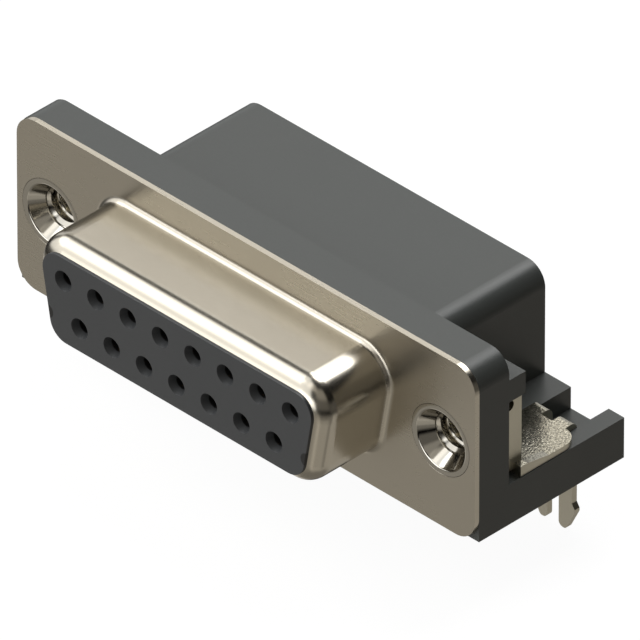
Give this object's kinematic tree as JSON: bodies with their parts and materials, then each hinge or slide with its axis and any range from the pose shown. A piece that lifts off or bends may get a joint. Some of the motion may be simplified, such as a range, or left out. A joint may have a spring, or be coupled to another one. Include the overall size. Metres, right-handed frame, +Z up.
{
  "type": "d-sub connector",
  "caption": "Right-angle board-mount socket d-sub connector with steel shell, plastic hood, threaded jackscrew inserts and forked board locks.",
  "frame": {"origin": "middle between the two board locks, on the face that stands on the circuit board", "axes": "+X right seen from the mating face, -Y out of the mating face, +Z up from the board"},
  "size_m": [0.0392, 0.0186, 0.0171],
  "materials": {
    "shell_steel": "drawn steel with a dull tin or nickel plating",
    "insulator_plastic": "black glass-filled moulding",
    "housing_plastic": "black glass-filled moulding, light sheen",
    "insert_nickel": "bright nickel-plated brass",
    "bracket_tin": "tinned sheet metal, slightly grainy",
    "contact_alloy": "copper alloy, gilt socket and tinned tail"
  },
  "bodies": {
    "root": {"shell": "shell_steel", "front_insulator": "insulator_plastic", "rear_insulator": "insulator_plastic", "housing": "housing_plastic", "tail_guide": "insulator_plastic", "threaded_insert_left": "insert_nickel", "threaded_insert_right": "insert_nickel", "board_lock_left": "bracket_tin", "board_lock_right": "bracket_tin", "contact_01": "contact_alloy", "contact_02": "contact_alloy", "contact_03": "contact_alloy", "contact_04": "contact_alloy", "contact_05": "contact_alloy", "contact_06": "contact_alloy", "contact_07": "contact_alloy", "contact_08": "contact_alloy", "contact_09": "contact_alloy", "contact_10": "contact_alloy", "contact_11": "contact_alloy", "contact_12": "contact_alloy", "contact_13": "contact_alloy", "contact_14": "contact_alloy", "contact_15": "contact_alloy"}
  },
  "joints": []
}
